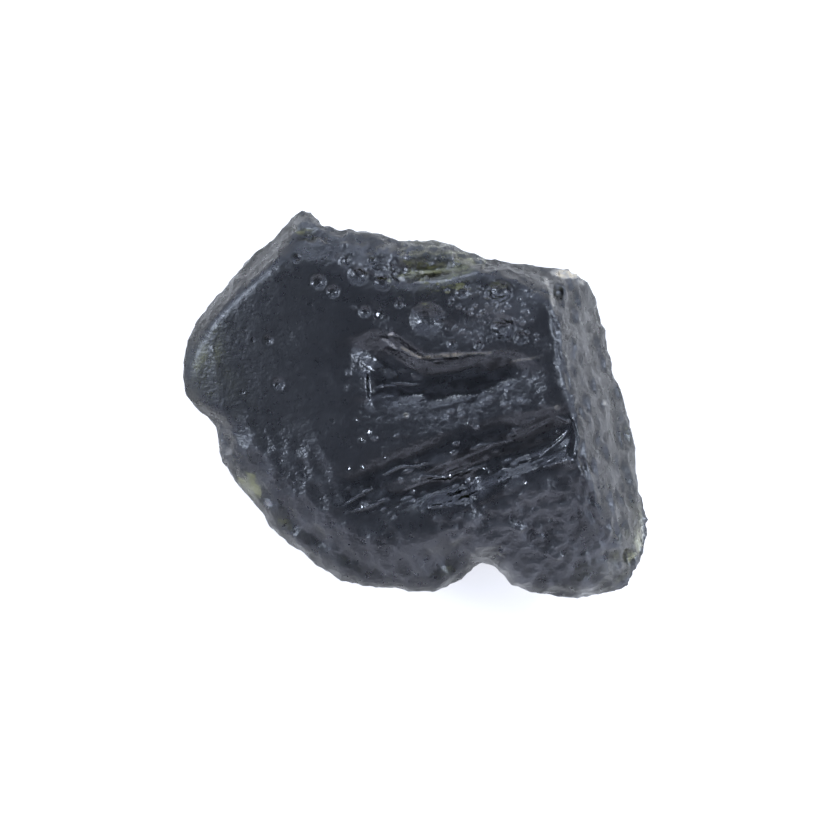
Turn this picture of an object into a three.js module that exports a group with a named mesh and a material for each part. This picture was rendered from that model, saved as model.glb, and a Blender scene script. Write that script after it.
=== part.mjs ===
// A raw piece of moldavite, the dark green natural glass: one solid body.
//
// Seen from above it is a rough five-sided slab with a knob at its far left corner, a bite in its left
// side and a deeper notch in its near side. Its crown is nearly level and is cut by two long gouges, a
// ledge and many round pits. Bevelled sides fall from the crown to a thin rim, and the underside rises
// from a flat, on which the stone rests, to the same rim.
//
// Millimetres, +Z up, X along the stone's long side. The origin is on the resting plane, under the
// middle of the stone's box. The skin is an icosahedral sphere: its equator is pulled out to the
// outline, its upper half is laid on the top surface and its lower half on the underside.
import * as THREE from "three";
import { mergeVertices } from "three/addons/utils/BufferGeometryUtils.js";

// ---- driving dimensions ----
const LENGTH = 26.0; // of the finished stone, along X
const CROWN_HEIGHT = 9.7; // of the crown above the resting plane, in the middle
const RIM_ROUND = 0.7; // radius of the rim, where the top and the underside meet
const WALL_SLOPE = 62; // degrees, of the wall into which the rounded rim runs above and below
const RIM_MARGIN = 0.5; // least height kept between the rim and the facets above and below it
const RIDGE_SOFT = 0.3; // how far the ridges between two facets are rounded
const SKIN_DETAIL = 21; // cuts in each edge of the icosahedron
const WEAR_ROUNDS = 4; // how often every point is drawn towards its neighbours, which wears the edges
const WEAR_SHARE = 0.3; // how far it is drawn each time
const RIM_WEAR = 0.8; // the rim's own share of that wear, as it is the freshest edge
const FRESH_RIM = 1.0; // width of the band in from the rim, over which the scoops fade in
const NOTCH = new THREE.Vector2(3.8, -9.0); // the near notch, where the skin is worn smoothest
const NOTCH_WEAR = 0.6; // how far a point of the notch is drawn each time
const NOTCH_REACH = [0.8, 2.6]; // distances from NOTCH between which that fades to the common wear

const CORE = new THREE.Vector3(1.8, 0.8, 5.0); // a point deep inside, which sees the whole outline
const DEGREE = Math.PI / 180;
const GOLDEN_ANGLE = Math.PI * (3 - Math.sqrt(5)); // spreads a count of things evenly in the round

// ---- the outline seen from above, from the knob round by the right ----
const OUTLINE = [
  [-6.1, 10.9], [-5.4, 10.5], [-5.1, 9.95], [-4.5, 9.8], [-3.1, 9.8], [-1.45, 9.5], [-0.85, 9.0], [0.4, 9.2],
  [2.3, 8.85], [3.6, 8.3], [5.7, 7.95], [7.1, 7.75], [8.55, 7.7], [9.5, 7.15], [10.1, 6.1],
  [10.7, 4.15], [11.0, 3.3], [10.95, 2.35], [11.5, 1.1], [12.0, -0.75], [12.55, -3.2],
  [12.4, -4.3], [12.8, -5.15], [13.05, -6.55], [12.85, -8.1], [11.95, -9.9], [11.05, -10.45],
  [9.0, -10.75], [6.95, -10.55], [5.6, -10.05], [4.85, -9.6], [4.5, -9.0], [3.75, -8.55],
  [3.15, -8.85], [2.9, -9.4], [2.35, -9.95], [0.25, -10.45], [-2.1, -10.15], [-3.4, -9.95],
  [-4.0, -9.9], [-5.15, -9.15], [-6.8, -7.95], [-8.1, -6.85], [-8.95, -5.55], [-10.35, -3.95],
  [-11.05, -2.35], [-10.85, -1.4], [-11.95, -0.55], [-12.75, 0.4], [-13.05, 2.2], [-12.85, 3.65],
  [-11.95, 5.2], [-10.45, 7.0], [-8.95, 8.6], [-7.4, 9.85], [-6.95, 10.6],
];

// Height of the rim at these azimuths, counted from +X towards +Y.
const RIM_HEIGHTS = [
  [0, 4.6], [24, 4.8], [42, 6.6], [62, 8.0], [100, 7.7], [120, 7.8], [142, 6.6], [160, 6.4],
  [182, 6.5], [205, 6.5], [226, 6.9], [250, 7.3], [276, 7.2], [294, 6.9], [306, 6.0], [320, 4.8],
];

// Facets of the top: each passes through a point and falls towards an azimuth at an angle of slope.
const TOP_FACETS = [
  { at: [0.0, 0.0], z: CROWN_HEIGHT, falls: 200, slope: 3.5 }, // the crown
  { at: [-5.0, 0.0], z: 9.45, falls: 188, slope: 15 }, // its left shoulder
  { at: [-8.8, 7.4], z: 8.5, falls: 139, slope: 60 }, // the smooth bevel at the upper left
  { at: [0.8, 7.3], z: 9.9, falls: 91, slope: 34 }, // the pitted far edge
  { at: [7.6, 5.9], z: 10.2, falls: 27, slope: 55 }, // the far right corner
  { at: [8.9, -1.4], z: 10.2, falls: 9, slope: 59 }, // the grooved right side
  { at: [9.6, -7.4], z: 8.9, falls: 325, slope: 42 }, // the near right lobe
  { at: [5.8, -4.6], z: 9.9, falls: 284, slope: 21 }, // the slab that dips to the notch
  { at: [-0.9, -7.7], z: 9.25, falls: 263, slope: 29 }, // the near edge
  { at: [-6.4, -4.8], z: 8.85, falls: 222, slope: 27 }, // the scalloped bevel at the lower left
];

// Facets of the underside: each passes through a point of the resting plane and rises towards an
// azimuth. A gentler facet leaves the plane nearer the middle and runs into each of them.
const UNDER_FACETS = [
  { at: [8.4, 0.0], rises: 4, slope: 45 },
  { at: [6.6, 4.6], rises: 42, slope: 50 },
  { at: [0.0, 5.6], rises: 88, slope: 47 },
  { at: [-5.6, 5.0], rises: 138, slope: 42 },
  { at: [-6.4, 0.0], rises: 182, slope: 44 },
  { at: [-4.6, -4.6], rises: 226, slope: 38 },
  { at: [0.0, -6.4], rises: 267, slope: 44 },
  { at: [7.2, -6.0], rises: 318, slope: 42 },
];

// Niches in the underside, which leave the glass above them thin enough to see through:
// x, y, half size along, half size across, turn and rise.
const NICHES = [
  [1.0, 6.6, 3.0, 1.4, 6, 6.2], // under the window behind the far crest
  [-8.6, -4.2, 1.6, 1.3, 55, 4.4], // under the olive lens in the lower left edge
  [1.7, -8.2, 1.6, 1.6, 0, 3.4], // under the brown lens beside the notch
];

const GENTLE_START = 0.68; // of the way from the middle out to the steeper facet
const GENTLE_SLOPE = 11; // degrees

// Hollows broken into the top. The floor is deepest towards one azimuth and comes up at the other side.
const HOLLOWS = [
  {
    // the upper gouge, under the ledge
    edge: [
      [-3.95, 3.1], [-2.9, 3.75], [-1.3, 3.6], [0.5, 2.6], [3.6, 2.85], [7.0, 2.1], [7.6, 1.5],
      [4.7, 0.4], [0.8, 0.15], [-2.5, 0.4], [-2.75, 2.1],
    ],
    deep: 1.6, shallow: 0.3, towards: 100, wall: 0.7,
  },
  {
    // the lower gouge, which runs from the middle left up to the right side
    edge: [
      [-3.6, -5.3], [-3.2, -4.5], [-0.9, -3.9], [2.2, -2.4], [4.7, -1.1], [7.9, 0.05], [9.2, -0.9],
      [8.6, -3.6], [5.8, -4.5], [3.6, -5.7], [0.8, -6.0], [-3.2, -6.0],
    ],
    deep: 1.15, shallow: 0.9, towards: 300, wall: 1.8,
  },
  {
    // the thin window behind the far crest
    edge: [
      [-1.5, 7.6], [-0.8, 8.0], [3.0, 8.0], [3.4, 7.6], [3.0, 7.35], [1.0, 6.95], [-0.5, 6.6],
      [-1.3, 6.7],
    ],
    deep: 1.6, shallow: 0.7, towards: 265, wall: 0.6,
  },
  {
    // the pocket beside the far right corner
    edge: [[7.8, 7.0], [8.9, 6.9], [9.5, 5.5], [9.0, 4.6], [8.2, 5.0]],
    deep: 0.9, shallow: 0.2, towards: 190, wall: 0.7,
  },
];

// Round pits in the top: x, y, radius along the turned axis, radius across it, turn and depth.
const PITS = [
  [4.75, 6.35, 0.62, 0.62, 0, 0.5], // the clean round one by the far right
  [4.9, 4.4, 0.8, 0.55, 30, 0.3],
  [0.65, 4.85, 1.0, 0.85, 0, 0.35],
  [-5.45, 6.85, 0.5, 0.45, 0, 0.4],
  [-4.6, 6.4, 0.5, 0.45, 0, 0.35],
  [-3.2, 7.2, 0.65, 0.55, 20, 0.45],
  [-1.85, 6.85, 0.55, 0.5, 0, 0.4],
  [-4.2, 2.4, 0.8, 0.6, 160, 0.3],
  [-2.7, -0.3, 0.55, 0.85, 0, 0.3],
  [3.9, 0.0, 0.9, 0.6, 40, 0.35],
  [6.2, 0.9, 0.8, 0.6, 10, 0.35],
  [2.0, -0.6, 0.9, 0.6, 100, 0.35],
  [6.2, -6.0, 0.9, 0.7, 140, 0.35],
  [7.4, -6.9, 0.8, 0.55, 20, 0.3],
  [10.1, -7.8, 0.85, 0.75, 0, 0.45], // the smooth dish in the near right lobe
  [1.75, -8.5, 1.1, 1.2, 0, 0.85], // the brown lens beside the notch
  [-8.8, -4.3, 0.6, 1.25, 30, 0.6], // the olive lens in the lower left edge
  [-6.9, -6.3, 0.85, 0.6, 130, 0.4],
  [-5.4, -7.3, 0.9, 0.65, 130, 0.4],
  [-3.9, -8.3, 0.9, 0.6, 150, 0.35],
  [-2.2, -8.9, 0.8, 0.5, 170, 0.35],
];

// Dimples strewn over the crown between them.
const DIMPLE_COUNT = 70;
const DIMPLE_FIELD = [11, 8.5]; // half sizes of the oval that they fill
const DIMPLE_RADIUS = [0.6, 1.3];
const DIMPLE_DEPTH = 0.3; // of the radius
const DIMPLE_NARROWEST = 0.6; // least width over length

// Shallow scoops all over the sides and the underside.
const SCOOP_COUNT = 110;
const SCOOP_RADIUS = [1.0, 2.6];
const SCOOP_DEPTH = 0.27; // of the radius
const SCOOP_LATITUDES = [0.35, -1.0]; // sines of the highest and the lowest one's, seen from the core
const SCOOP_FLOOR = [0.15, 0.8]; // heights between which they fade in above the flat
const SCOOP_CEILING = [7.0, 8.5]; // heights between which they fade out below the crown
const MOSTLY_SMALL = 1.8; // power that makes the small ones commoner than the large

// ---- small helpers ----
const smoothStep = (low, high, x) => THREE.MathUtils.smoothstep(x, low, high);

// The lower of two values, with the corner between them rounded over about `soft`.
function softMin(a, b, soft) {
  const h = Math.max(soft - Math.abs(a - b), 0) / soft;
  return Math.min(a, b) - (h * h * soft) / 4;
}

// A repeatable number from 0 to 1 for item i and channel k.
function scatter(i, k) {
  const s = Math.sin(i * 12.9898 + k * 78.233) * 43758.5453;
  return s - Math.floor(s);
}

// Distance from (x, y) to a closed polygon, positive inside.
function insideDistance(x, y, corners) {
  let nearest = Infinity;
  let inside = false;
  for (let i = 0, j = corners.length - 1; i < corners.length; j = i++) {
    const [ax, ay] = corners[j];
    const [bx, by] = corners[i];
    const dx = bx - ax;
    const dy = by - ay;
    const along = THREE.MathUtils.clamp(((x - ax) * dx + (y - ay) * dy) / (dx * dx + dy * dy), 0, 1);
    nearest = Math.min(nearest, Math.hypot(x - ax - along * dx, y - ay - along * dy));
    if (ay > y !== by > y && x < ax + ((y - ay) * dx) / dy) inside = !inside;
  }
  return inside ? nearest : -nearest;
}

// How far (x, y) lies from the origin towards an azimuth in degrees.
function alongAzimuth(x, y, azimuth) {
  return x * Math.cos(azimuth * DEGREE) + y * Math.sin(azimuth * DEGREE);
}

function closedCurve(points) {
  const corners = points.map(([x, y]) => new THREE.Vector3(x, y, 0));
  return new THREE.CatmullRomCurve3(corners, true, "centripetal");
}

// A closed curve as this many points, which are the corners of a polygon.
function polygon(curve, count) {
  return curve.getPoints(count).slice(0, count).map((p) => [p.x, p.y]);
}

const rimCurve = closedCurve(OUTLINE);
const knobAzimuth = Math.atan2(OUTLINE[0][1] - CORE.y, OUTLINE[0][0] - CORE.x);
const outline = polygon(rimCurve, 4 * OUTLINE.length);
const dimples = Array.from({ length: DIMPLE_COUNT }, (_, i) => {
  const reach = Math.sqrt((i + 0.5) / DIMPLE_COUNT);
  const azimuth = i * GOLDEN_ANGLE;
  const radius = THREE.MathUtils.lerp(...DIMPLE_RADIUS, scatter(i, 3) ** MOSTLY_SMALL);
  const width = radius * THREE.MathUtils.lerp(DIMPLE_NARROWEST, 1, scatter(i, 6));
  const x = CORE.x + DIMPLE_FIELD[0] * reach * Math.cos(azimuth) + scatter(i, 4);
  const y = CORE.y + DIMPLE_FIELD[1] * reach * Math.sin(azimuth) + scatter(i, 5);
  return [x, y, radius, width, 180 * scatter(i, 7), radius * DIMPLE_DEPTH];
});
const hollows = HOLLOWS.map((hollow) => {
  const edge = polygon(closedCurve(hollow.edge), 4 * hollow.edge.length);
  const along = edge.map(([x, y]) => alongAzimuth(x, y, hollow.towards));
  return { ...hollow, edge, low: Math.min(...along), high: Math.max(...along) };
});

const underFacets = UNDER_FACETS.flatMap((facet) => [
  facet,
  { ...facet, at: facet.at.map((v) => v * GENTLE_START), slope: GENTLE_SLOPE },
]);

// ---- the surface ----
function rimHeight(x, y) {
  const azimuth = (Math.atan2(y - CORE.y, x - CORE.x) / DEGREE + 360) % 360;
  const count = RIM_HEIGHTS.length;
  let i = RIM_HEIGHTS.findIndex(([from]) => from > azimuth);
  if (i < 0) i = count;
  const [a, low] = RIM_HEIGHTS[i - 1];
  const [b, high] = i < count ? RIM_HEIGHTS[i] : [360, RIM_HEIGHTS[0][1]];
  return low + (high - low) * smoothStep(a, b, azimuth);
}

// How far the surface stands above or below the rim, this far in from it: a round, then a wall.
function rimProfile(inset) {
  const wall = WALL_SLOPE * DEGREE;
  const meet = RIM_ROUND * (1 - Math.sin(wall));
  const x = Math.min(Math.max(inset, 0), meet) / RIM_ROUND;
  return RIM_ROUND * Math.sqrt(x * (2 - x)) + Math.max(inset - meet, 0) * Math.tan(wall);
}

function facetHeight({ at, z = 0, falls, rises, slope }, x, y) {
  const run = alongAzimuth(x - at[0], y - at[1], falls ?? rises);
  return z + run * Math.tan(slope * DEGREE) * (falls === undefined ? 1 : -1);
}

function hollowDepth({ edge, low, high, deep, shallow, towards, wall }, x, y) {
  const inset = insideDistance(x, y, edge);
  if (inset <= 0) return 0;
  const floor = THREE.MathUtils.mapLinear(alongAzimuth(x, y, towards), low, high, shallow, deep);
  return floor * smoothStep(0, wall, inset);
}

function pitDepth([px, py, along, across, turn, depth], x, y) {
  const c = Math.cos(turn * DEGREE);
  const s = Math.sin(turn * DEGREE);
  const u = ((x - px) * c + (y - py) * s) / along;
  const v = ((y - py) * c - (x - px) * s) / across;
  return depth * Math.max(1 - u * u - v * v, 0);
}

// The top surface before the rim is rounded.
function crownHeight(x, y) {
  let z = 2 * CROWN_HEIGHT;
  for (const facet of TOP_FACETS) z = softMin(z, facetHeight(facet, x, y), RIDGE_SOFT);
  for (const hollow of hollows) z -= hollowDepth(hollow, x, y);
  for (const pit of PITS) z -= pitDepth(pit, x, y);
  for (const dimple of dimples) z -= pitDepth(dimple, x, y);
  return z;
}

// The underside before the rim is rounded.
function keelHeight(x, y) {
  let depth = 0;
  for (const facet of underFacets) depth = softMin(depth, -facetHeight(facet, x, y), RIDGE_SOFT);
  for (const niche of NICHES) depth -= pitDepth(niche, x, y);
  return -depth;
}

// The point of the skin that belongs to a direction from the core.
function skinPoint(direction) {
  const clockwise = (knobAzimuth - Math.atan2(direction.y, direction.x)) / (2 * Math.PI);
  const edge = rimCurve.getPointAt(THREE.MathUtils.euclideanModulo(clockwise, 1));
  const outwards = Math.hypot(direction.x, direction.y);
  const x = THREE.MathUtils.lerp(CORE.x, edge.x, outwards);
  const y = THREE.MathUtils.lerp(CORE.y, edge.y, outwards);
  const inset = insideDistance(x, y, outline);
  const crown = crownHeight(x, y);
  const keel = keelHeight(x, y);
  const rim = THREE.MathUtils.clamp(rimHeight(x, y), keel + RIM_MARGIN, crown - RIM_MARGIN);
  const z =
    direction.z > 0
      ? softMin(crown, rim + rimProfile(inset), RIDGE_SOFT)
      : -softMin(-keel, rimProfile(inset) - rim, RIDGE_SOFT);
  return new THREE.Vector3(x, y, z);
}

// ---- scoops on the sides and the underside ----
const scoops = Array.from({ length: SCOOP_COUNT }, (_, i) => {
  const z = THREE.MathUtils.lerp(...SCOOP_LATITUDES, (i + 0.5) / SCOOP_COUNT);
  const azimuth = i * GOLDEN_ANGLE + scatter(i, 1);
  const flat = Math.sqrt(1 - z * z);
  const direction = new THREE.Vector3(flat * Math.cos(azimuth), flat * Math.sin(azimuth), z);
  const radius = THREE.MathUtils.lerp(...SCOOP_RADIUS, scatter(i, 2) ** MOSTLY_SMALL);
  return { centre: skinPoint(direction), radius };
});

// 0 on the rim and 1 from FRESH_RIM inwards.
function rimFade(p) {
  return smoothStep(0, FRESH_RIM, insideDistance(p.x, p.y, outline));
}

function scooped(p) {
  let push = 0;
  for (const { centre, radius } of scoops) {
    const q = p.distanceTo(centre) / radius;
    if (q < 1) push = Math.max(push, SCOOP_DEPTH * radius * (1 - q * q));
  }
  // The crown has its own pits, the flat stays flat and the rim keeps its outline.
  push *= smoothStep(...SCOOP_FLOOR, p.z) * (1 - smoothStep(...SCOOP_CEILING, p.z)) * rimFade(p);
  const inward = CORE.clone().sub(p).normalize();
  return p.clone().addScaledVector(inward, push);
}

// ---- wear ----
function worn(points, index) {
  const sums = points.map(() => new THREE.Vector3());
  const counts = points.map(() => 0);
  for (let i = 0; i < index.length; i += 3) {
    for (let k = 0; k < 3; k++) {
      const from = index[i + k];
      const to = index[i + ((k + 1) % 3)];
      sums[from].add(points[to]);
      counts[from] += 1;
    }
  }
  return points.map((p, i) => {
    const middle = sums[i].divideScalar(counts[i]);
    const common = WEAR_SHARE * THREE.MathUtils.lerp(RIM_WEAR, 1, rimFade(p));
    const away = smoothStep(...NOTCH_REACH, NOTCH.distanceTo(p));
    return p.clone().lerp(middle, THREE.MathUtils.lerp(NOTCH_WEAR, common, away));
  });
}

// ---- the solid ----
function stoneGeometry() {
  const ball = new THREE.IcosahedronGeometry(1, SKIN_DETAIL);
  ball.deleteAttribute("normal");
  ball.deleteAttribute("uv");
  const skin = mergeVertices(ball, 1e-5);
  const position = skin.getAttribute("position");
  let points = Array.from({ length: position.count }, (_, i) =>
    scooped(skinPoint(new THREE.Vector3().fromBufferAttribute(position, i).normalize())),
  );
  for (let i = 0; i < WEAR_ROUNDS; i++) points = worn(points, skin.index.array);
  points.forEach((p, i) => position.setXYZ(i, p.x, p.y, p.z));
  // Brought to its length, centred over the origin and set down on the resting plane.
  skin.computeBoundingBox();
  const { min, max } = skin.boundingBox;
  const scale = LENGTH / (max.x - min.x);
  skin.translate(-(min.x + max.x) / 2, -(min.y + max.y) / 2, -min.z);
  skin.scale(scale, scale, scale);
  skin.computeVertexNormals();
  return skin;
}

const glass = new THREE.MeshStandardMaterial({ color: 0x2b3038, roughness: 0.45, metalness: 0 });
const stone = new THREE.Mesh(stoneGeometry(), glass);
stone.name = "moldavite";

const part = new THREE.Group();
part.add(stone);
export default part;
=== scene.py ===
import itertools
import math

import bmesh
import bpy
import numpy as np
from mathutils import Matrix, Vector


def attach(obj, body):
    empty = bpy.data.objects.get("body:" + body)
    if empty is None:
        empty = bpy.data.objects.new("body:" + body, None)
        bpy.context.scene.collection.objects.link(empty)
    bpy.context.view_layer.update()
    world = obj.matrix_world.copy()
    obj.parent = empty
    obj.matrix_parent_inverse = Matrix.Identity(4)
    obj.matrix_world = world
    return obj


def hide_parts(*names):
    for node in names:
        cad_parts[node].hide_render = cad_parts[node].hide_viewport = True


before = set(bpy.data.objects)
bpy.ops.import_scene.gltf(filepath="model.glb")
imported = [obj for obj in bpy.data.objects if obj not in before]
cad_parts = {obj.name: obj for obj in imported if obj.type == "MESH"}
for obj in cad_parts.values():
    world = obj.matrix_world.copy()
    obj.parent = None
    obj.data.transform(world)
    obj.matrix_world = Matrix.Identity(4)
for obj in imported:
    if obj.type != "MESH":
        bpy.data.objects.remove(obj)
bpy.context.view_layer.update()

MM = 0.001
NET_PITCH = 0.125  # spacing of the fine skin's points, mm; half that where the top is most worked
NET_LIMIT = 194000  # triangles the finished skin may have
SOFTEN_ROUNDS = 6
ETCHED_FROST = 0.12  # how frosted the plain etched skin is, where fresh glass is 0
PATCH_FROST = 0.6  # how frosted the patches are between their bumps
THREAD_FROST = 0.6
BOWL_POLISH = 0.5
FROST_DULLS = 0.7  # how much of the gouges' polish the frost takes away
POLISH_SMOOTHS = 0.8  # how much of the fine grain the polish takes away
PLAIN_GRAIN = 0.30  # how strongly the fine grain holds on the smoothest skin, where 1 is the most
WANDER = 0.10  # mm by which lines and borders stray from where they are drawn
PLAN_PIXEL = 0.0555  # mm to a pixel of a plan view; many lists of places below are in its pixels
PLAN_MID = (415.5, 405.0)  # the column and row over the middle of the stone
TALL = 1000.0  # a pattern this tall is the same all the way down, as seen from above
UP = Vector((0, 0, 1))

# The stone's regions in plan, mm: each is a closed line round the area.
TOP_BAND = [
    (-6.9, 9.4), (-4.4, 7.7), (-1.1, 6.6), (1.2, 7.0), (3.1, 7.4), (4.4, 8.0), (7.2, 7.6),
    (8.5, 14.0), (-7.0, 14.0),
]
RIGHT_FACE = [
    (7.2, 9.0), (7.7, 4.2), (8.7, 0.3), (9.3, -1.4), (8.9, -3.6), (9.1, -7.0), (9.6, -9.5),
    (16.0, -10.0), (16.0, 10.0),
]
UPPER_LEFT_BEVEL = [
    (-7.3, 9.9), (-8.4, 8.3), (-9.4, 6.8), (-10.6, 5.3), (-14.0, 5.0), (-10.0, 12.0),
]
NEAR_SLOPES = [
    (-14.0, -1.0), (-10.7, -1.0), (-7.6, -1.4), (-5.2, -2.4), (-4.2, -3.4), (-4.3, -6.2), (-2.5, -6.6),
    (1.0, -6.9), (2.4, -8.5), (2.4, -12.0), (-14.0, -12.0),
]
NEAR_LOBE = [
    (4.0, -8.2), (5.2, -8.6), (8.0, -8.9), (9.4, -7.9), (10.8, -6.0), (14.0, -6.0), (14.0, -12.0),
    (4.0, -12.0),
]
UPPER_GOUGE = [
    (-2.7, 2.5), (-1.6, 2.6), (1.6, 2.5), (5.6, 2.7), (5.9, 1.9), (4.7, 0.9), (3.0, 0.2),
    (0.8, 0.1), (-2.6, 0.2),
]
LOWER_GOUGE = [
    (-4.0, -5.3), (-3.7, -4.2), (-0.9, -2.8), (3.0, -1.3), (6.9, -0.6), (9.0, -0.6), (9.2, -1.6),
    (8.6, -3.2), (5.7, -4.2), (3.0, -5.6), (0.8, -5.9), (-0.9, -5.4), (-3.2, -5.9),
]
SLAB = [
    (4.6, -5.4), (8.8, -3.4), (9.1, -8.5), (8.0, -9.6), (4.8, -8.7), (3.0, -8.6), (1.0, -6.9),
    (0.8, -6.0),
]


# Each region's line, and half the width in mm over which it fades out.
RINGS = {
    "top_band": (TOP_BAND, 0.4),
    "right_face": (RIGHT_FACE, 0.3),
    "upper_left": (UPPER_LEFT_BEVEL, 0.3),
    "near_slopes": (NEAR_SLOPES, 0.8),
    "near_lobe": (NEAR_LOBE, 0.5),
    "upper_gouge": (UPPER_GOUGE, 0.5),
    "lower_gouge": (LOWER_GOUGE, 0.5),
    "slab": (SLAB, 0.5),
}


def placed(*points):
    """Places in mm for points given as pixel columns and rows of the plan view."""
    return [((x - PLAN_MID[0]) * PLAN_PIXEL, (PLAN_MID[1] - y) * PLAN_PIXEL) for x, y in points]


def scrambled(cells, seed):
    """An even random number from 0 to 1 for each whole-number cell."""
    word = (
        (cells[:, 0] * 73856093) ^ (cells[:, 1] * 19349663) ^ (cells[:, 2] * 83492791)
    ) ^ (seed * 668265263)
    for _ in range(2):
        word &= 0xFFFFFFFF
        word = ((word >> 16) ^ word) * 0x45D9F3B
    word &= 0xFFFFFFFF
    return ((word >> 16) ^ word) / 0xFFFFFFFF


def cups(points, pitch, seed):
    """Distance from the nearest of points strewn one to a cell, in cells, and that point's luck."""
    grid = points / pitch
    home = np.floor(grid).astype(np.int64)
    nearest = np.full(len(grid), 9.0)
    luck = np.zeros(len(grid))
    for step in itertools.product((-1, 0, 1), repeat=3):
        cell = home + np.array(step)
        centre = cell + np.stack([scrambled(cell, seed + k) for k in range(3)], axis=1)
        gap = np.linalg.norm(grid - centre, axis=1)
        closer = gap < nearest
        nearest = np.where(closer, gap, nearest)
        luck = np.where(closer, scrambled(cell, seed + 7), luck)
    return nearest, luck


def waves(points, pitch, seed):
    """Smooth random swell from -1 to 1 with hills about a pitch apart."""
    grid = points / pitch
    home = np.floor(grid).astype(np.int64)
    part = grid - home
    ease = part * part * (3 - 2 * part)
    total = np.zeros(len(grid))
    for corner in itertools.product((0, 1), repeat=3):
        weight = np.ones(len(grid))
        for k in range(3):
            weight *= ease[:, k] if corner[k] else 1 - ease[:, k]
        total += weight * scrambled(home + np.array(corner), seed)
    return total * 2 - 1


def eased(value, low, high):
    """0 below low, 1 above high, and a smooth step between."""
    t = np.clip((value - low) / (high - low), 0, 1)
    return t * t * (3 - 2 * t)


def beside(plan, line):
    """For each point: distance from a line of straight runs, side (+1 left), and share of its length."""
    line = np.array(line, float)
    lengths = np.linalg.norm(np.diff(line, axis=0), axis=1)
    before = np.concatenate([[0], np.cumsum(lengths)])
    best = np.full(len(plan), 1e9)
    side = np.ones(len(plan))
    share = np.zeros(len(plan))
    for a, b, run, start in zip(line[:-1], line[1:], lengths, before):
        way = (b - a) / run
        rel = plan - a
        t = np.clip(rel @ way, 0, run)
        gap = np.linalg.norm(rel - t[:, None] * way, axis=1)
        closer = gap < best
        best = np.where(closer, gap, best)
        cross = way[0] * rel[:, 1] - way[1] * rel[:, 0]
        side = np.where(closer, np.sign(cross), side)
        share = np.where(closer, (start + t) / before[-1], share)
    return best, side, share


def inside(plan, ring, soft):
    """1 well inside a closed line, 0 well outside, with a soft border."""
    ring = np.array(ring, float)
    closed = np.vstack([ring, ring[:1]])
    gap, _, _ = beside(plan, closed)
    within = np.zeros(len(plan), bool)
    x, y = plan[:, 0], plan[:, 1]
    for (ax, ay), (bx, by) in zip(closed[:-1], closed[1:]):
        if ay == by:
            continue
        crosses = (ay > y) != (by > y)
        within ^= crosses & (x < (bx - ax) * (y - ay) / (by - ay) + ax)
    return eased(np.where(within, gap, -gap), -soft, soft)


def blot(plan, at, reach, turn=0, hard=0.4):
    """1 in the middle of an oval patch, easing to 0 at its edge."""
    c, s = math.cos(math.radians(turn)), math.sin(math.radians(turn))
    rel = plan - np.array(at)
    u = (rel[:, 0] * c + rel[:, 1] * s) / reach[0]
    v = (-rel[:, 0] * s + rel[:, 1] * c) / reach[1]
    return 1 - eased(np.hypot(u, v), hard, 1)


def turned(points, turn, stretch, tall=1.0):
    """Points with the plan turned and squeezed along one way, so that cells come out long that way."""
    c, s = math.cos(math.radians(turn)), math.sin(math.radians(turn))
    u = (points[:, 0] * c + points[:, 1] * s) / stretch
    v = -points[:, 0] * s + points[:, 1] * c
    return np.stack([u, v, points[:, 2] / tall], axis=1)


class Skin:
    """The stone's surface as points in mm that the tools below push along the way they face."""

    def __init__(self, mesh):
        self.mesh = mesh
        count = len(mesh.vertices)
        raw = np.empty(count * 3)
        mesh.vertices.foreach_get("co", raw)
        self.at = raw.reshape(-1, 3) / MM
        ends = np.empty(len(mesh.edges) * 2, np.int64)
        mesh.edges.foreach_get("vertices", ends)
        self.ends = ends.reshape(-1, 2)
        self.links = np.bincount(self.ends.ravel(), minlength=count)
        self.wander = WANDER * np.stack([waves(self.at, 0.8, 301), waves(self.at, 0.8, 302)], axis=1)
        self.turn_out()

    def turn_out(self):
        """Writes the points to the mesh and reads the way each one faces."""
        self.mesh.vertices.foreach_set("co", (self.at * MM).ravel())
        self.mesh.update()
        raw = np.empty(len(self.at) * 3)
        self.mesh.vertex_normals.foreach_get("vector", raw)
        self.out = raw.reshape(-1, 3)
        self.plan = self.at[:, :2]
        self.loose = self.plan + self.wander
        self.up = eased(self.out[:, 2], 0.05, 0.35)

    def around(self, values):
        """The mean of each point's neighbours."""
        a, b = self.ends[:, 0], self.ends[:, 1]
        columns = values.reshape(len(values), -1).T
        means = [
            (
                np.bincount(a, weights=c[b], minlength=len(c))
                + np.bincount(b, weights=c[a], minlength=len(c))
            )
            / self.links
            for c in columns
        ]
        return np.stack(means, axis=1).reshape(values.shape)

    def soften(self, rounds, share=0.5):
        """Evens the surface without shrinking it."""
        for _ in range(rounds):
            self.at += share * (self.around(self.at) - self.at)
            self.at -= (share + 0.03) * (self.around(self.at) - self.at)
        self.turn_out()

    def push(self, height):
        """Raises the surface by a height in mm at each point, or lowers it where that is negative."""
        self.at = self.at + self.out * height[:, None]

    def lift(self, height):
        """Raises the top straight up by a height in mm at each point."""
        self.at = self.at + np.stack([0 * height, 0 * height, height * self.up], axis=1)

def groove(skin, line, half_width, depth, taper=0.25):
    """A long furrow along a line, or a thin raised thread where depth is negative."""
    gap, _, share = beside(skin.loose, line)
    across = np.clip(gap / half_width, 0, 1)
    ends = eased(share, 0, taper) * (1 - eased(share, 1 - taper, 1))
    skin.lift(-depth * ends * (1 - across**2) ** 1.5)


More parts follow.
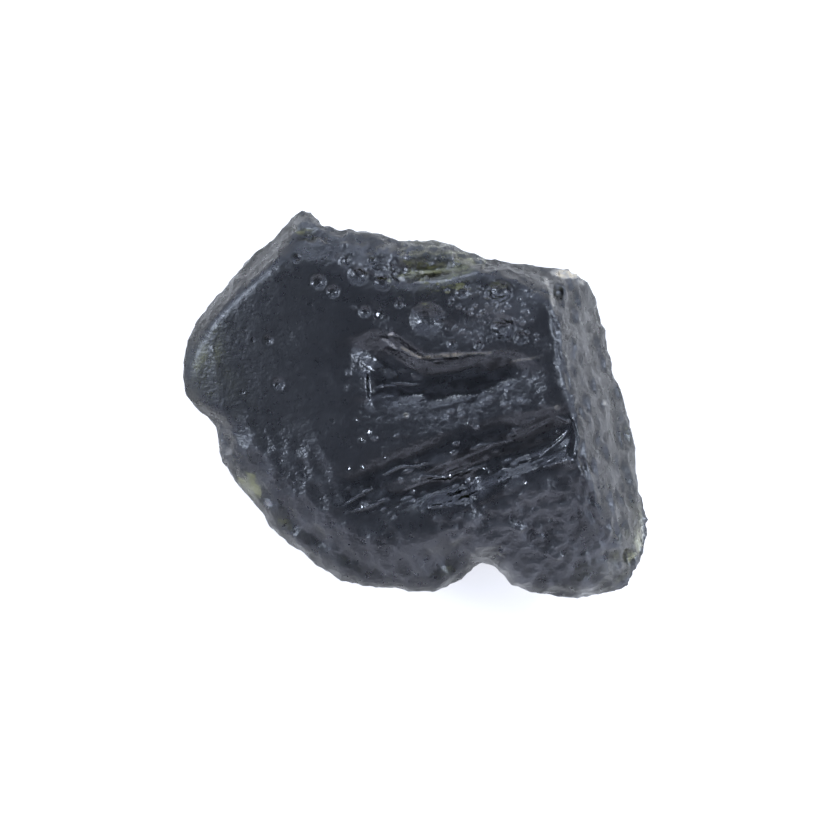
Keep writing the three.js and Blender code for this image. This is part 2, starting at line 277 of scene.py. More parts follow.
def ledge(skin, line, rise, reach, lip=0.24, taper=0.2):
    """A step along a line: the ground on its left stands higher next to it and eases off."""
    gap, side, share = beside(skin.loose, line)
    signed = gap * side
    ends = eased(share, 0, taper) * (1 - eased(share, 1 - taper, 1))
    high = np.exp(-((np.maximum(signed, 0) / reach) ** 2)) * eased(signed, -lip, lip)
    low = np.exp(-((np.maximum(-signed, 0) / reach) ** 2)) * eased(-signed, -lip, lip)
    skin.lift(rise * ends * (0.5 * high - 0.5 * low))


def pit(skin, x, y, radius, depth, lip=0.12):
    """A round bowl with a faint raised lip."""
    gap = np.hypot(skin.plan[:, 0] - x, skin.plan[:, 1] - y) / radius
    bowl = np.clip(1 - gap**2, 0, None) ** 1.2
    brim = np.exp(-(((gap - 1.12) / 0.16) ** 2))
    skin.lift(depth * (lip * brim - bowl))


def knob(skin, x, y, radius, rise):
    """A small rounded bump."""
    gap = np.hypot(skin.plan[:, 0] - x, skin.plan[:, 1] - y) / radius
    skin.lift(rise * np.clip(1 - gap**2, 0, None) ** 1.5)


def terraces(skin, share, turn, pitch, rise, seed):
    """Low steps that run one way across an area, each a short riser and a long tread."""
    c, s = math.cos(math.radians(turn)), math.sin(math.radians(turn))
    across = -skin.at[:, 0] * s + skin.at[:, 1] * c
    drift = waves(turned(skin.at, turn, 7.0), 1.1, seed)
    phase = across / pitch + 0.8 * drift
    part = phase - np.floor(phase)
    tall = 0.55 + 0.45 * waves(turned(skin.at, turn, 5.0), 0.9, seed + 3)
    skin.lift(rise * share * tall * (eased(part, 0, 0.3) - part))


def calm(skin, ring, soft, share):
    """Brings the top inside a closed line closer to one gently curved face."""
    within = inside(skin.plan, ring, soft) * skin.up
    chosen = within > 0.5
    x, y = skin.plan[:, 0], skin.plan[:, 1]
    terms = np.stack([x**0, x, y, x * x, x * y, y * y], axis=1)
    fit, *_ = np.linalg.lstsq(terms[chosen], skin.at[chosen, 2], rcond=None)
    skin.at[:, 2] += share * within * (terms @ fit - skin.at[:, 2])


def hollow_under(skin, place, reach, turn, roof):
    """Raises the underside to a roof height over an oval place."""
    share = blot(skin.plan, place, reach, turn, 0.75) * (1 - skin.up)
    skin.at[:, 2] += share * np.maximum(roof - skin.at[:, 2], 0)


def facet(skin, x, y, radius, towards, tilt):
    """A tiny flat chip that faces an azimuth and leans from level by a tilt, to catch a lamp."""
    rel = skin.plan - np.array([x, y])
    gap = np.hypot(rel[:, 0], rel[:, 1]) / radius
    a = math.radians(towards)
    along = rel[:, 0] * math.cos(a) + rel[:, 1] * math.sin(a)
    middle = skin.at[np.argmin(gap + 9 * (skin.out[:, 2] < 0.1)), 2]
    flat = middle - math.tan(math.radians(tilt)) * along
    skin.lift((flat - skin.at[:, 2]) * (1 - eased(gap, 0.8, 1.5)))


# Small lamps round the stone: place in m, size in m, power in W.
LAMPS = [
    ("far_lamp", (-0.08, 0.20, 0.24), 0.045, 0.05),
    ("right_lamp", (0.21, 0.09, 0.22), 0.045, 0.34),
    ("left_lamp", (-0.22, 0.05, 0.20), 0.045, 0.22),
]
# Broad soft panels further out.
PANELS = [
    ("far_panel", (-0.10, 0.55, 0.36), 0.26, 0.3),
    ("right_panel", (0.55, 0.10, 0.40), 0.26, 0.9),
    ("left_panel", (-0.55, 0.20, 0.36), 0.26, 0.5),
]
LAMP_TINT = (0.74, 0.84, 1.0)
# Azimuth and tilt in degrees of a chip that mirrors each lamp straight up.
LAMP_AIMS = [
    (
        math.degrees(math.atan2(y, x)),
        0.5 * math.degrees(math.atan2(math.hypot(x, y), z)),
    )
    for _, (x, y, z), _, _ in LAMPS
]

# The calm plane at the left of the top, how far in mm its border fades, and how far it is evened.
LEFT_FADE = 1.2
LEFT_EVENED = 0.8
LEFT_PLANE = placed(
    (248, 292), (285, 268), (330, 268), (352, 300), (350, 330), (338, 352), (346, 385), (342, 430),
    (318, 455), (290, 452), (262, 420), (244, 380), (232, 335),
)

# The closely worked middle of the top, where the net is twice as fine.
CLOSE_WORK = placed(
    (340, 342), (362, 330), (366, 296), (384, 258), (480, 256), (530, 268), (536, 300), (548, 340),
    (576, 380), (582, 440), (560, 482), (520, 500), (470, 512), (400, 514), (346, 518), (344, 476),
    (346, 444), (344, 412), (346, 375),
)

# Rough frosted patches: column, row, half sizes in mm, turn in degrees and strength.
PATCHES = [
    (505, 308, 2.5, 1.5, 0, 1.0), (470, 330, 1.5, 0.9, 20, 0.8), (428, 322, 0.75, 0.6, 0, 0.6),
    (307, 222, 0.9, 0.5, 0, 1.0), (470, 295, 1.2, 0.8, 0, 0.6),
    (360, 353, 0.75, 0.22, -15, 0.6), (387, 359, 0.75, 0.22, -22, 0.6),
    (389, 373, 0.5, 0.35, -30, 0.8), (404, 371, 0.4, 0.2, 0, 0.6),
    (418, 377, 0.4, 0.2, 0, 0.8), (370, 405, 0.36, 0.66, 10, 0.9), (396, 405, 0.32, 0.2, 0, 0.7),
    (413, 405, 0.5, 0.25, -10, 0.6), (431, 418, 0.4, 0.3, -30, 0.8), (443, 415, 0.5, 0.35, 30, 0.8),
    (484, 400, 0.65, 0.5, 30, 0.95), (473, 420, 0.36, 0.75, 20, 1.0), (505, 388, 0.7, 0.4, 20, 0.9),
    (517, 402, 0.7, 0.3, 15, 1.0), (541, 403, 0.35, 0.25, 20, 0.6), (442, 460, 0.95, 0.45, 20, 0.8),
    (417, 477, 0.7, 0.28, 18, 0.9), (385, 486, 0.32, 0.36, 0, 0.7), (397, 485, 0.25, 0.3, 0, 0.6),
    (514, 486, 0.85, 0.45, 38, 0.95), (355, 492, 0.3, 0.3, 0, 0.5),
    (410, 481, 1.8, 0.45, 14, 0.8), (378, 494, 0.8, 0.35, 24, 0.7), (365, 505, 0.5, 0.2, 25, 0.9),
    (340, 500, 0.4, 0.3, 0, 0.5), (545, 345, 0.5, 0.8, 0, 0.4),
    (520, 375, 0.5, 0.3, 10, 0.5), (470, 372, 0.5, 0.2, 0, 0.4), (555, 290, 0.3, 0.9, 5, 0.6),
    (440, 507, 0.7, 0.14, -10, 0.8), (330, 350, 0.3, 0.3, 0, 0.4), (490, 440, 0.6, 0.2, 18, 0.4),
]

# Thin raised threads of glass: the line, half width and height in mm.
THREADS = [
    (placed((376, 387), (395, 386)), 0.10, 0.03), (placed((392, 384), (419, 384)), 0.10, 0.03),
    (placed((380, 397), (392, 397)), 0.09, 0.02), (placed((432, 408), (450, 406), (466, 401)), 0.11, 0.04),
    (placed((384, 474), (400, 467), (430, 464)), 0.12, 0.06),
    (placed((408, 481), (425, 477), (445, 477), (462, 472), (486, 464)), 0.12, 0.06),
    (placed((541, 456), (552, 447), (567, 431)), 0.12, 0.07),
    (placed((557, 416), (570, 422)), 0.16, 0.06), (placed((345, 505), (358, 496), (372, 488)), 0.12, 0.06),
    (placed((352, 512), (372, 507), (388, 498)), 0.12, 0.05), (placed((428, 506), (450, 507)), 0.12, 0.05),
    (placed((470, 449), (500, 442), (512, 440)), 0.11, 0.04), (placed((545, 466), (575, 459)), 0.11, 0.04),
]

# The step over the upper gouge, mm.
LEDGE = [
    (-3.9, 3.1), (-3.3, 3.6), (-2.4, 3.9), (-1.3, 3.8), (-0.4, 3.3), (0.5, 2.7), (2.0, 2.7),
    (3.6, 2.9), (4.7, 2.9), (6.0, 2.5), (7.2, 2.3),
]
LEDGE_RISE = 0.16
LEDGE_REACH = 0.7

# The upper gouge's floor rises to its far side, in mm per mm, about a line across the stone, and its
# near rim is worn down.
GOUGE_FADE = 0.8  # mm
GOUGE_RISE = 0.09
GOUGE_HINGE = 1.5
NEAR_BRIM = (437, 408)
BRIM_REACH = (3.4, 1.8)
BRIM_DROP = 0.24

# The lower gouge runs at an angle in degrees. Its floor leans up to its near side, in mm per mm, about
# its middle, climbs to its right end, and falls in low steps: pitch and rise in mm.
GOUGE_TURN = 21
GOUGE_MIDDLE = (2.5, -3.2)
GOUGE_ACROSS = (-math.sin(math.radians(GOUGE_TURN)), math.cos(math.radians(GOUGE_TURN)))
GOUGE_LEAN = 0.12
GOUGE_CLIMB = 0.15
CLIMB_FROM, CLIMB_TO = 6.5, 8.8
TERRACE_PITCH = 0.9
TERRACE_RISE = 0.06

# The sharp ends of the gouges, mm, and how high each stands.
STEP_REACH = 0.8
STEP_LIP = 0.10
STEP_TAPER = 0.25
STEPS = [
    (placed((368, 402), (367, 386), (369, 370)), 0.22),
    (placed((572, 416), (577, 438), (574, 464)), 0.20),
]

# The knob at the far left corner, mm, with the furrow at its foot.
KNOB_PLACE = (305, 221)
KNOB_RADIUS = 0.95
KNOB_RISE = 0.40
KNOB_FOOT = placed((284, 231), (305, 236), (324, 229))
KNOB_FOOT_CUT = (0.35, 0.04)  # half width and depth in mm
POCKET = placed((562, 284), (556, 298), (560, 316))  # a dark slot under the far right corner
POCKET_CUT = (0.36, 0.40)  # half width and depth in mm

# Deep places of the underside, over which the glass is thin: place, half sizes and roof height in mm.
NICHES = [
    ((432, 282), (2.9, 0.6), 2, 7.1),
]

# Tiny mirror chips: column, row and radius in mm.
GLINTS = [
    (378, 315, 0.20), (400, 300, 0.12), (357, 420, 0.12), (369, 432, 0.16), (362, 440, 0.14),
    (349, 469, 0.13), (363, 467, 0.14), (385, 458, 0.12), (333, 420, 0.10), (317, 360, 0.10),
    (252, 340, 0.10), (242, 392, 0.10), (484, 468, 0.10), (502, 459, 0.09), (525, 483, 0.12),
    (536, 508, 0.14), (550, 520, 0.12), (518, 523, 0.10), (545, 535, 0.12), (501, 550, 0.14),
    (563, 553, 0.12), (362, 507, 0.14), (420, 466, 0.10), (383, 470, 0.10), (450, 476, 0.12),
    (467, 424, 0.10), (520, 300, 0.12),
    (438, 285, 0.10), (330, 292, 0.14), (298, 258, 0.12), (310, 305, 0.10), (345, 300, 0.10),
]

# Cream marks, partly crushed pale glass and partly painted highlights and painted light through thin
# edges, and tan bruises where the glass is crushed: column, row, half sizes in mm, turn, strength,
# and lines with their half width and strength.
CREAM_SPOTS = [
    (566, 273, 1.05, 0.30, -6, 1.0), (582, 280, 0.30, 0.30, 0, 0.35), (402, 279, 0.20, 0.14, 0, 0.6),
    (268, 503, 0.30, 0.22, -30, 0.35), (228, 452, 0.22, 0.30, 0, 0.2), (605, 402, 0.16, 0.16, 0, 0.5),
    (640, 530, 0.18, 0.30, 0, 0.15), (420, 273, 0.16, 0.16, 0, 0.5), (390, 334, 0.20, 0.12, 0, 0.5),
]
CREAM_LINES = [
    (placed((414, 283), (438, 281), (460, 277), (476, 273)), 0.09, 0.16),
    (placed((545, 279), (550, 292), (554, 305)), 0.13, 0.32),
    (placed((384, 339), (391, 344), (396, 348)), 0.12, 0.28),
    (placed((541, 455), (552, 447), (566, 431)), 0.07, 0.16),
]
TAN_SPOTS = [(405, 415, 0.25, 0.16, 0, 0.5), (557, 408, 0.25, 0.2, 0, 0.5)]
TAN_LINES = [
    (placed((402, 347), (412, 353), (422, 357), (445, 356), (460, 355)), 0.13, 0.5),
    (placed((460, 355), (475, 353), (490, 352)), 0.11, 0.45),
    (placed((510, 363), (526, 360), (542, 356)), 0.10, 0.4),
]

# Small raised grains strewn inside a closed line: the line, pitch in mm, turn in degrees, stretch,
# share of the places taken, rise in mm, how frosted they are, and a seed.
GRAINS = [
    (placed((366, 396), (470, 396), (560, 368), (582, 400), (560, 432), (470, 456), (430, 468),
            (375, 474), (360, 440)), 0.34, 20, 1.9, 0.26, 0.07, 0.55, 201),
    (LOWER_GOUGE, 0.34, 21, 3.2, 0.14, 0.05, 0.7, 202),
    (placed((345, 486), (420, 478), (500, 464), (560, 450), (580, 470), (540, 510), (440, 520),
            (345, 525)), 0.34, 28, 1.7, 0.34, 0.03, 0.8, 203),
    (placed((335, 345), (400, 345), (432, 384), (372, 388)), 0.34, -15, 1.7, 0.12, 0.04, 0.5, 204),
    (TOP_BAND, 0.40, 0, 1.2, 0.35, 0.13, 0.35, 205),
    (placed((440, 283), (545, 280), (548, 345), (440, 338)), 0.32, 0, 1.3, 0.5, 0.08, 0.5, 206),
    (SLAB, 0.46, 35, 1.6, 0.20, 0.09, 1.0, 207),
    (NEAR_LOBE, 0.60, 15, 1.3, 0.35, 0.12, 0.1, 208),
    (placed((205, 260), (350, 240), (360, 330), (350, 430), (300, 450), (200, 400)), 0.50, -58, 1.3,
     0.05, 0.05, 0.6, 209),
]

# Single bowls on the top: column, row, radius and depth in mm.
BOWLS = [
    (500, 292, 0.66, 0.26), (318, 282, 0.48, 0.20), (333, 292, 0.40, 0.16),
    (358, 276, 0.56, 0.22), (383, 283, 0.48, 0.18), (427, 320, 0.95, 0.22),
    (503, 328, 0.68, 0.24), (365, 312, 0.36, 0.14), (268, 340, 0.30, 0.10),
    (278, 384, 0.34, 0.18), (399, 305, 0.26, 0.10), (462, 292, 0.40, 0.10),
    (296, 258, 0.30, 0.10), (345, 262, 0.30, 0.12), (372, 262, 0.30, 0.12),
    (408, 256, 0.28, 0.10), (455, 262, 0.30, 0.10), (520, 338, 0.40, 0.14),
    (478, 345, 0.30, 0.10), (452, 345, 0.30, 0.10),
]


# Cusped cups all over the stone, coarse and fine: region, pitch and depth in mm, turn in degrees,
# stretch, tallness, the level that stays where it was, how frosted the cusps are, and a seed.
ETCHES = [
    ("plain", 0.60, 0.022, -58, 1.8, TALL, 0.25, 0.06, 21),
    ("middle", 0.40, 0.050, 15, 1.2, TALL, 0.25, 0.20, 25),
    ("right_face", 0.42, 0.08, -76, 2.2, 1.4, 0.25, 0.50, 33),
    ("top_band", 0.52, 0.19, 0, 1.0, TALL, 0.25, 0.50, 41),
    ("near_slopes", 0.74, 0.18, -58, 1.6, TALL, 0.25, 0.40, 45),
    ("near_slopes", 0.34, 0.04, -58, 1.2, TALL, 0.25, 0.15, 46),
    ("near_lobe", 0.62, 0.19, 20, 1.4, TALL, 0.25, 0.80, 47),
    ("slab", 0.52, 0.16, 30, 1.3, TALL, 0.25, 0.60, 55),
    ("slab", 1.00, 0.14, 40, 2.0, TALL, 0.25, 0.40, 56),
    ("brink", 0.50, 0.12, 0, 1.0, 1.0, 0.25, 0.20, 53),
    ("underside", 0.9, 0.20, -60, 1.4, 1.0, 0.81, 0.10, 51),
]


# Long pits that lean along the right face: pitch and depth in mm, and turn in degrees.
RIGHT_PITS = {"pitch": 0.50, "depth": 0.22, "seed": 31, "turn": -74, "stretch": 2.6}

# Broad gentle swell: rise and pitch in mm and a seed; and the stronger swell of the brinks.
SWELLS = [(0.008, 1.7, 11), (0.006, 0.8, 12)]
BRINK_RISE = 0.10
BRINK_PITCH = 0.9
BUMP_RISE = 0.09  # of the small bumps in the frosted patches, mm


def regions(skin):
    """How strongly each region of the stone holds at each point, from 0 to 1."""
    share = {name: inside(skin.loose, ring, soft) * skin.up for name, (ring, soft) in RINGS.items()}
    share["gouges"] = np.maximum(share["upper_gouge"], share["lower_gouge"])
    open_top = skin.up * (1 - share["gouges"]) * (1 - share["right_face"]) * (1 - share["top_band"])
    share["plain"] = open_top * (1 - 0.6 * share["upper_left"]) * (1 - share["near_slopes"])
    share["middle"] = open_top * blot(skin.plan, (2.0, 0.5), (7.5, 7.5), 0, 0.6)
    share["underside"] = 1 - skin.up
    share["brink"] = (1 - eased(skin.out[:, 2], 0.45, 0.75)) * (1 - share["right_face"])
    return share


def etch(skin, share, pitch, depth, turn, stretch, tall, level, seed):
    """Shallow bowls all over an area, with sharp edges where they meet."""
    live = share > 0.01
    near, _ = cups(turned(skin.at[live], turn, stretch, tall), pitch, seed)
    height = np.zeros(len(share))
    height[live] = depth * share[live] * (np.minimum(near, 0.9) ** 2 - level)
    skin.push(height)


def cusps(skin, share, pitch, turn, stretch, tall, seed):
    """1 on the sharp edges of the same bowls, 0 in the bowls."""
    live = share > 0.01
    near, _ = cups(turned(skin.at[live], turn, stretch, tall), pitch, seed)
    edge = np.zeros(len(share))
    edge[live] = share[live] * eased(near, 0.35, 0.75)
    return edge


def peck(skin, share, pitch, depth, seed, turn=0, stretch=1.0, size=0.55, tall=TALL):
    """Separate small pits with level ground between them."""
    live = share > 0.01
    near, _ = cups(turned(skin.at[live], turn, stretch, tall), pitch, seed)
    height = np.zeros(len(share))
    height[live] = -depth * share[live] * np.clip(1 - (near / size) ** 2, 0, None)
    skin.push(height)


def strewn(skin, share, pitch, seed, turn, stretch, rarity):
    """1 in the middle of small oval grains strewn over an area, 0 between them."""
    live = share > 0.01
    near, luck = cups(turned(skin.at[live], turn, stretch, TALL), pitch, seed)
    height = np.zeros(len(share))
    height[live] = share[live] * (luck < rarity) * np.clip(1 - (near / 0.45) ** 2, 0, None) ** 1.2
    return height


def patches(skin):
    """The frosted patches at each point, and the small bumps that crowd in them."""
    share = np.zeros(len(skin.plan))
    ragged = 0.35 * waves(turned(skin.at, 0, 1.0, TALL), 0.45, 81)
    for x, y, long, wide, turn, strength in PATCHES:
        (place,) = placed((x, y))
        share = np.maximum(share, strength * blot(skin.loose, place, (long, wide), turn, 0.5))
    share = np.clip(share * (1 + 1.5 * ragged), 0, 1) * skin.up
    return share, strewn(skin, share, 0.27, 91, 20, 1.2, 0.75)


def grains(skin):
    """Rise in mm and frost of the strewn grains at each point."""
    rise = np.zeros(len(skin.plan))
    frost = np.zeros(len(skin.plan))
    for ring, pitch, turn, stretch, rarity, tall, pale, seed in GRAINS:
        share = inside(skin.loose, ring, 0.4) * skin.up
        mask = strewn(skin, share, pitch, seed, turn, stretch, rarity)
        rise += tall * mask
        frost = np.maximum(frost, pale * mask)
    return rise, frost


def shape_stone(skin):
    """All the relief of the stone, from the broad swell to the finest cups."""
    skin.soften(2)
    calm(skin, LEFT_PLANE, LEFT_FADE, LEFT_EVENED)
    skin.turn_out()
    share = regions(skin)
    at, plan = skin.at, skin.plan
    swell = sum(rise * waves(at, pitch, seed) for rise, pitch, seed in SWELLS)
    skin.push(swell + BRINK_RISE * share["brink"] * waves(at, BRINK_PITCH, 13))
    skin.turn_out()
    for x, y, radius, depth in BOWLS:
        (place,) = placed((x, y))
        pit(skin, *place, radius, depth)
    (nub,) = placed(KNOB_PLACE)
    knob(skin, *nub, KNOB_RADIUS, KNOB_RISE)
    groove(skin, KNOB_FOOT, *KNOB_FOOT_CUT)
    groove(skin, POCKET, *POCKET_CUT)
    ledge(skin, LEDGE, LEDGE_RISE, LEDGE_REACH)
    for line, rise in STEPS:
        ledge(skin, line, rise, STEP_REACH, STEP_LIP, STEP_TAPER)
    terraces(skin, share["lower_gouge"], GOUGE_TURN, TERRACE_PITCH, TERRACE_RISE, 61)
    inner = inside(skin.loose, UPPER_GOUGE, GOUGE_FADE) * skin.up
    skin.lift(inner * GOUGE_RISE * (plan[:, 1] - GOUGE_HINGE))
    (brim,) = placed(NEAR_BRIM)
    skin.lift(-BRIM_DROP * blot(plan, brim, BRIM_REACH, 0, 0.1))
    across = plan @ GOUGE_ACROSS - np.dot(GOUGE_MIDDLE, GOUGE_ACROSS)
    climb = GOUGE_CLIMB * eased(plan[:, 0], CLIMB_FROM, CLIMB_TO)
    skin.lift(share["lower_gouge"] * (climb - GOUGE_LEAN * across))
    for place, reach, turn, roof in NICHES:
        hollow_under(skin, placed(place)[0], reach, turn, roof)
    skin.turn_out()
    peck(skin, share["right_face"], **RIGHT_PITS)
    for region, pitch, depth, turn, stretch, tall, level, _, seed in ETCHES:
        etch(skin, share[region], pitch, depth, turn, stretch, tall, level, seed)
    skin.turn_out()
    _, bumps = patches(skin)
    rise, _ = grains(skin)
    skin.push(rise + BUMP_RISE * bumps)
    for line, half_width, rise in THREADS:
        groove(skin, line, half_width, -rise)
    for k, (x, y, radius) in enumerate(GLINTS):
        (place,) = placed((x, y))
        towards, tilt = LAMP_AIMS[1 + k % 2]
        facet(skin, *place, radius, towards, tilt)
    skin.at[:, 2] = np.maximum(skin.at[:, 2], 0)
    skin.turn_out()


def fine_copy(node, name):
    """A copy of a solid with its corners merged, remade as an even fine net."""
    mesh = node.data.copy()
    net = bmesh.new()
    net.from_mesh(mesh)
    bmesh.ops.remove_doubles(net, verts=net.verts, dist=MM * 0.001)
    net.to_mesh(mesh)
    net.free()
    piece = bpy.data.objects.new(name, mesh)
    bpy.context.scene.collection.objects.link(piece)
    remade = piece.modifiers.new("even_net", "REMESH")
    remade.mode = "VOXEL"
    remade.voxel_size = NET_PITCH * MM
    settle(piece)
    Skin(piece.data).soften(SOFTEN_ROUNDS)
    return piece


def close_net(piece, ring):
    """Halves the net's pitch on the top inside a closed line."""
    skin = Skin(piece.data)
    chosen = (inside(skin.plan, ring, 0.01) > 0.5) & (skin.out[:, 2] > 0.1)
    net = bmesh.new()
    net.from_mesh(piece.data)
    net.verts.ensure_lookup_table()
    edges = [e for e in net.edges if chosen[e.verts[0].index] and chosen[e.verts[1].index]]
    bmesh.ops.subdivide_edges(net, edges=edges, cuts=1, use_grid_fill=True)
    net.to_mesh(piece.data)
    net.free()


def settle(piece):
    """Makes what the modifiers show the piece's own mesh."""
    graph = bpy.context.evaluated_depsgraph_get()
    graph.update()
    made = bpy.data.meshes.new_from_object(piece.evaluated_get(graph))
    piece.modifiers.clear()
    piece.data = made


def triangle_count(piece):
    return sum(len(face.vertices) - 2 for face in piece.data.polygons)


def thin_out(piece, limit):
    """Merges the smallest faces of the underside until the piece keeps to a number of triangles."""
    under = piece.vertex_groups.new(name="underside")
    under.add(np.nonzero(Skin(piece.data).out[:, 2] < -0.05)[0].tolist(), 1.0, "REPLACE")
    thinner = piece.modifiers.new("thinner", "DECIMATE")
    thinner.ratio = min(1.0, limit / triangle_count(piece))
    thinner.vertex_group = under.name
    settle(piece)
    piece.vertex_groups.clear()


class Socket:
    """A shader socket that takes part in Python sums."""

    def __init__(self, tree, out):
        self.tree = tree
        self.out = out

    def math(self, operation, *others, first=None):
        node = self.tree.nodes.new("ShaderNodeMath")
        node.operation = operation
        values = [self if first is None else first, *others]
        for slot, value in zip(node.inputs, values):
            if isinstance(value, Socket):
                self.tree.links.new(value.out, slot)
            else:
                slot.default_value = value
        return Socket(self.tree, node.outputs[0])

    def __add__(self, other):
        return self.math("ADD", other)

    def __radd__(self, other):
        return self.math("ADD", self, first=other)

    def __sub__(self, other):
        return self.math("SUBTRACT", other)

    def __rsub__(self, other):
        return self.math("SUBTRACT", self, first=other)

    def __mul__(self, other):
        return self.math("MULTIPLY", other)

    def __rmul__(self, other):
        return self.math("MULTIPLY", self, first=other)

    def clipped(self):
        return self.math("MINIMUM", 1.0).math("MAXIMUM", 0.0)


class Finish:
    """A material or a world under way: node() adds any shader node."""

    def __init__(self, owner):
        self.owner = owner
        owner.use_nodes = True
        self.tree = owner.node_tree
        self.tree.nodes.clear()

    def node(self, kind, settings=None, give=0, **inputs):
        node = self.tree.nodes.new(kind)
        for key, value in (settings or {}).items():
            setattr(node, key, value)
        for key, value in inputs.items():
            slot = node.inputs[key.replace("_", " ")]
            if isinstance(value, Socket):
                self.tree.links.new(value.out, slot)
            else:
                slot.default_value = value
        return Socket(self.tree, node.outputs[give])


def blended(node, share, first, second):
    """A colour that goes from the first to the second as the share goes from 0 to 1."""
    mix = node("ShaderNodeMix", {"data_type": "RGBA"}, give=2, Factor=share).out.node
    for slot, colour in zip((mix.inputs[6], mix.inputs[7]), (first, second)):
        if isinstance(colour, Socket):
            colour.tree.links.new(colour.out, slot)
        else:
            slot.default_value = colour
    return Socket(share.tree, mix.outputs[2])


GLASS_IOR = 1.49
THICK_GLASS = (0.267, 0.28, 0.0, 1)  # what the haze lets through
HAZE_DENSITY = 1250.0
GRAIN_DEPTH = 0.00006  # of the finest bumps, m
CLEAR = (0.98, 0.985, 0.97, 1)
CREAM = (0.78, 0.70, 0.54, 1)
TAN = (0.80, 0.62, 0.26, 1)


def tektite_glass():
    """Dark olive natural glass with an etched skin, polished in the gouges and pits."""
    finish = Finish(bpy.data.materials.new("tektite_glass"))
    node = finish.node
    here = node("ShaderNodeTexCoord", give="Object")
    polish = node("ShaderNodeAttribute", {"attribute_name": "polish"}, give="Fac")
    frost = node("ShaderNodeAttribute", {"attribute_name": "frost"}, give="Fac")
    coarse = node("ShaderNodeAttribute", {"attribute_name": "coarse"}, give="Fac")
    # Cream marks: partly crushed pale glass, partly painted highlights and painted light through thin
    # edges.
    chip_and_painted_light = node("ShaderNodeAttribute", {"attribute_name": "chip_and_painted_light"}, give="Fac")
    tan = node("ShaderNodeAttribute", {"attribute_name": "tan"}, give="Fac")
    leaning = node(
        "ShaderNodeMapping", Vector=here, Rotation=(0, 0, math.radians(58)), Scale=(0.6, 1, 1)
    )
    cells = node("ShaderNodeTexVoronoi", Vector=leaning, Scale=4400.0)
    fine = node("ShaderNodeTexNoise", Vector=here, Scale=6500.0, Detail=1.0, Roughness=0.5)
    grain = node("ShaderNodeTexNoise", Vector=here, Scale=2300.0, Detail=2.0, Roughness=0.6)
    height = (cells * 0.4 + fine * 0.5 + grain * 0.9) * coarse
    bump = node("ShaderNodeBump", Strength=1.0, Distance=GRAIN_DEPTH, Height=height)
    roughness = (0.28 + frost * 0.06 + (grain - 0.5) * 0.3) * (1 - polish * 0.7) + 0.02
    shader = finish.tree.nodes.new("ShaderNodeBsdfPrincipled")
    shader.inputs["IOR"].default_value = GLASS_IOR
    shader.inputs["Transmission Weight"].default_value = 1.0
    shader.inputs["Coat Roughness"].default_value = 0.38
    shader.inputs["Coat IOR"].default_value = 1.5
    link = finish.tree.links.new
    link(roughness.clipped().out, shader.inputs["Roughness"])
    link(frost.out, shader.inputs["Coat Weight"])
    # Metal shine and a cream colour on the cream marks make them bright: partly pale chips, partly painted
    # highlights and painted light through thin edges.
    link((chip_and_painted_light * 0.5 + tan * 0.2 + frost * 0.035).clipped().out, shader.inputs["Metallic"])
    chip_and_painted_light_colour = blended(node, chip_and_painted_light, CLEAR, CREAM)
    link(blended(node, tan, chip_and_painted_light_colour, TAN).out, shader.inputs["Base Color"])
    link(bump.out, shader.inputs["Normal"])
    link(bump.out, shader.inputs["Coat Normal"])
    haze = finish.tree.nodes.new("ShaderNodeVolumeAbsorption")
    haze.inputs["Color"].default_value = THICK_GLASS
    haze.inputs["Density"].default_value = HAZE_DENSITY
    output = finish.tree.nodes.new("ShaderNodeOutputMaterial")
    link(shader.outputs[0], output.inputs["Surface"])
    link(haze.outputs[0], output.inputs["Volume"])
    return finish.owner


def pale_marks(skin, spots, lines):
    """How strongly each point carries a set of pale spots and lines."""
    share = np.zeros(len(skin.plan))
    ragged = waves(turned(skin.at, 0, 1.0, TALL), 0.18, 83)
    for x, y, long, wide, turn, strength in spots:
        (place,) = placed((x, y))
        share = np.maximum(share, strength * blot(skin.loose, place, (long, wide), turn, 0.5))
    for line, half_width, strength in lines:
        gap, _, _ = beside(skin.loose, line)
        share = np.maximum(share, strength * (1 - eased(gap / half_width, 0.4, 1)))
    return np.clip(share * (1 + 0.5 * ragged), 0, 1) * skin.up


